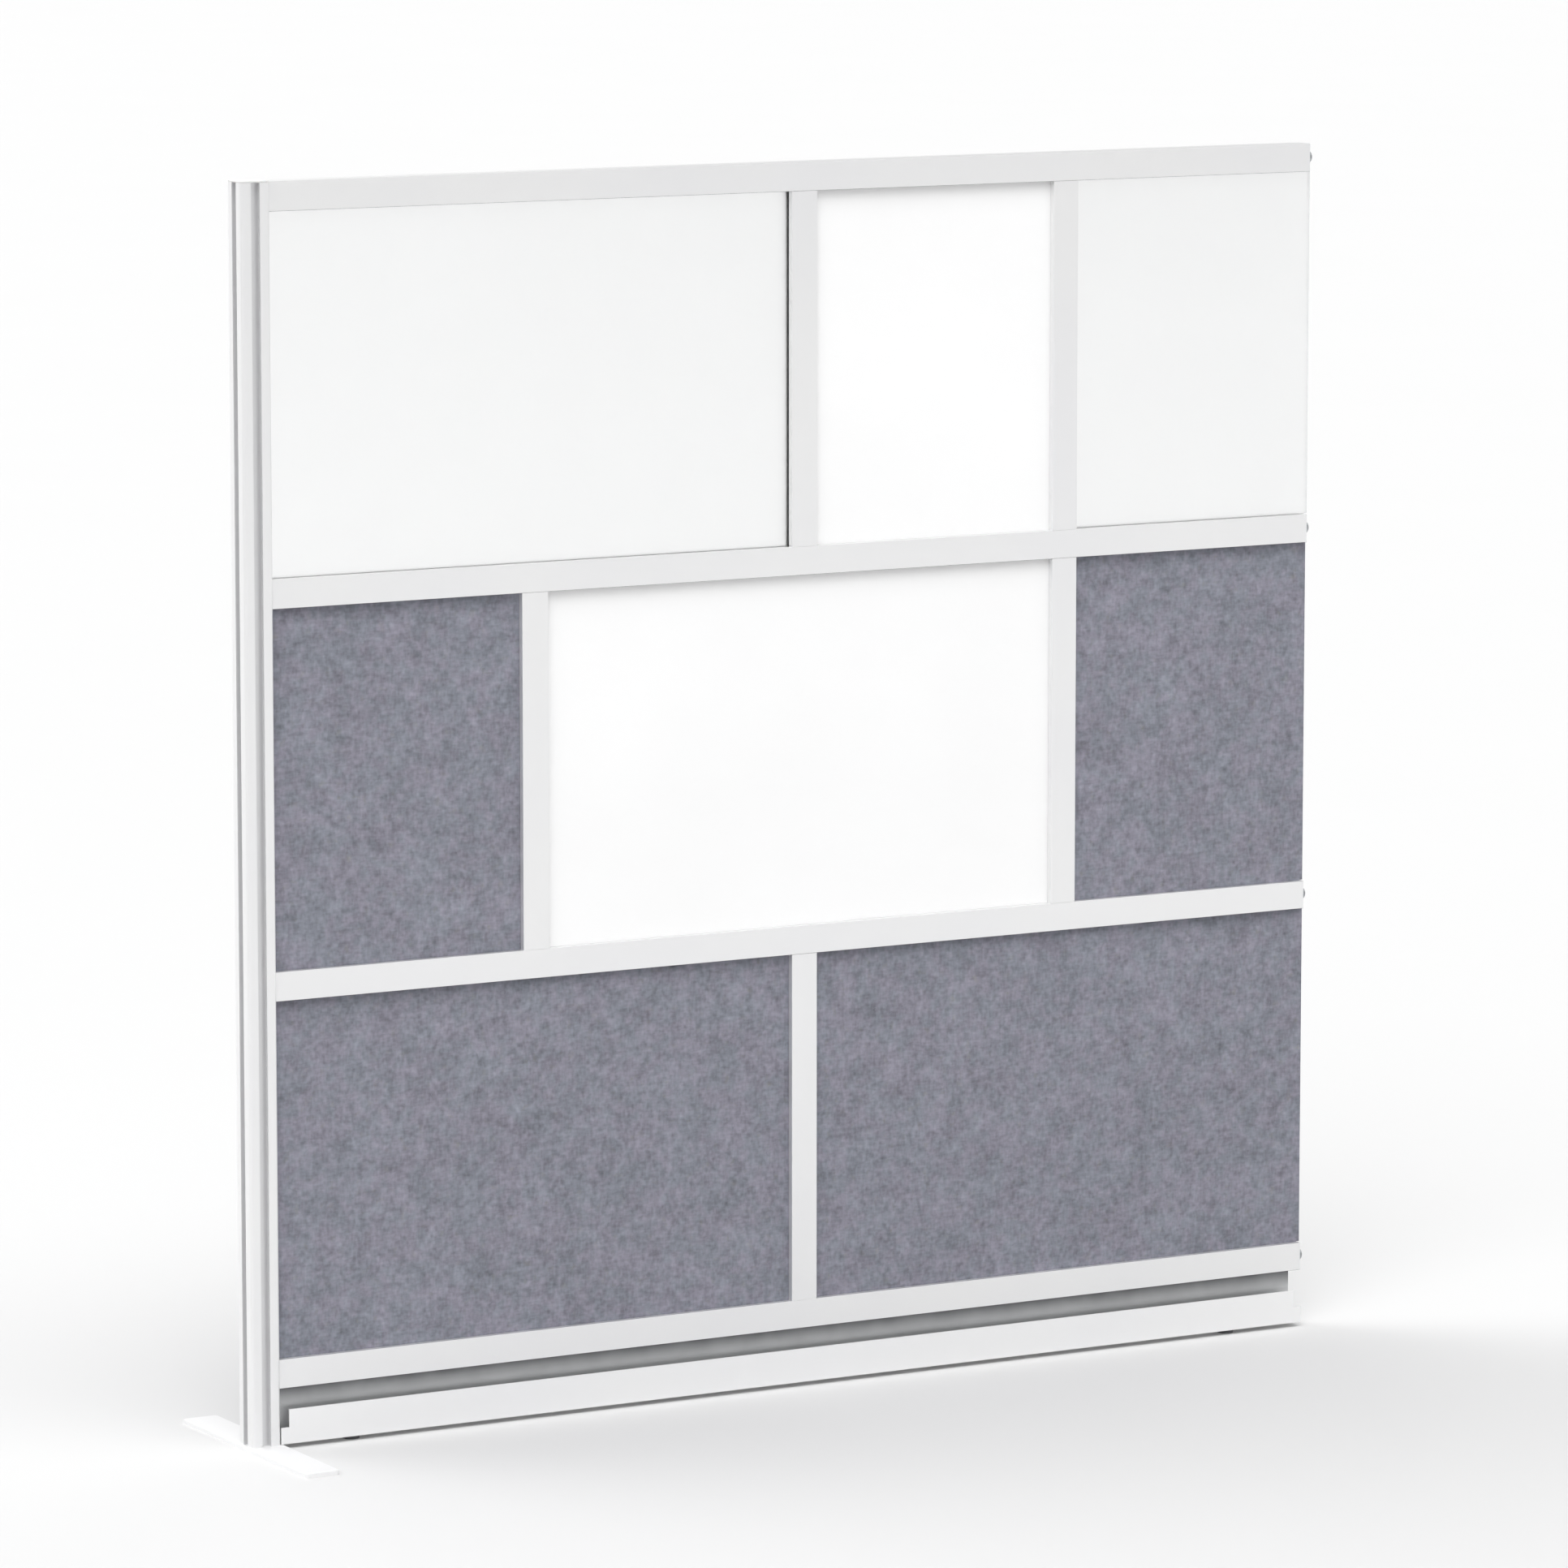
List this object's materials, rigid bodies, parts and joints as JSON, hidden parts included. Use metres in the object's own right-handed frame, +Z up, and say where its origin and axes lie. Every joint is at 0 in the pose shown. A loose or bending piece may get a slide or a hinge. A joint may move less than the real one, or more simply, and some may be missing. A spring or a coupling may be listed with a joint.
{
  "type": "modular room divider",
  "caption": "Free-standing add-on divider wall: slotted post on a flat foot, framed grid of felt, whiteboard and frosted infills, open cable raceway along the base.",
  "frame": {"origin": "on the floor, under the post's axis, at the middle of the foot plate's underside", "axes": "+X along the wall away from the post, +Y to the back of the wall, +Z up"},
  "size_m": [1.7599, 0.4, 1.78],
  "materials": {
    "frame_aluminium": "satin clear anodised, extruded; the trough is folded sheet",
    "foot_coat": "white powder coat on steel plate",
    "web_aluminium": "satin grey anodised, extruded",
    "cap_nylon": "moulded white nylon",
    "frosted_acrylic": "frosted on both faces",
    "marker_steel": "gloss white writing coat on thin steel",
    "board_core": "pressed fibre board, cut edges",
    "felt": "pressed polyester felt, heathered blue grey",
    "gasket_vinyl": "soft white vinyl",
    "zinc_steel": "zinc plated steel",
    "cast_insert": "as cast",
    "block_nylon": "moulded black nylon",
    "glide_nylon": "moulded grey nylon"
  },
  "bodies": {
    "divider": {"foot_plate": "foot_coat", "foot_screws": "zinc_steel", "post": "frame_aluminium", "post_top_cap": "cap_nylon", "bottom_rail": "frame_aluminium", "lower_rail": "frame_aluminium", "upper_rail": "frame_aluminium", "top_rail": "frame_aluminium", "bottom_mullion": "frame_aluminium", "middle_left_mullion": "frame_aluminium", "middle_right_mullion": "frame_aluminium", "top_left_mullion": "frame_aluminium", "top_right_mullion": "frame_aluminium", "joint_blocks": "block_nylon", "joint_screws": "zinc_steel", "left_end_inserts": "cast_insert", "right_end_inserts": "cast_insert", "left_studs": "zinc_steel", "right_studs": "zinc_steel", "felt_panel_bottom_left": "felt", "felt_panel_bottom_right": "felt", "felt_panel_middle_left": "felt", "felt_panel_middle_right": "felt", "wide_whiteboard_core": "board_core", "wide_whiteboard_skins": "marker_steel", "upper_whiteboard_core": "board_core", "upper_whiteboard_skins": "marker_steel", "frosted_panel_left": "frosted_acrylic", "frosted_panel_left_gaskets": "gasket_vinyl", "frosted_panel_right": "frosted_acrylic", "frosted_panel_right_gaskets": "gasket_vinyl", "base_web": "web_aluminium", "base_trough": "frame_aluminium", "web_screws": "zinc_steel", "trough_screws": "zinc_steel", "glide_nuts": "zinc_steel"},
    "left_glide": {"left_glide_foot": "glide_nylon", "left_glide_screw": "zinc_steel"},
    "right_glide": {"right_glide_foot": "glide_nylon", "right_glide_screw": "zinc_steel"}
  },
  "joints": [
    {"name": "left_glide_slide", "type": "slide", "parent": "divider", "child": "left_glide", "axis": [0, 0, 1], "range_m": [-0.012, 0]},
    {"name": "right_glide_slide", "type": "slide", "parent": "divider", "child": "right_glide", "axis": [0, 0, 1], "range_m": [-0.012, 0]}
  ]
}
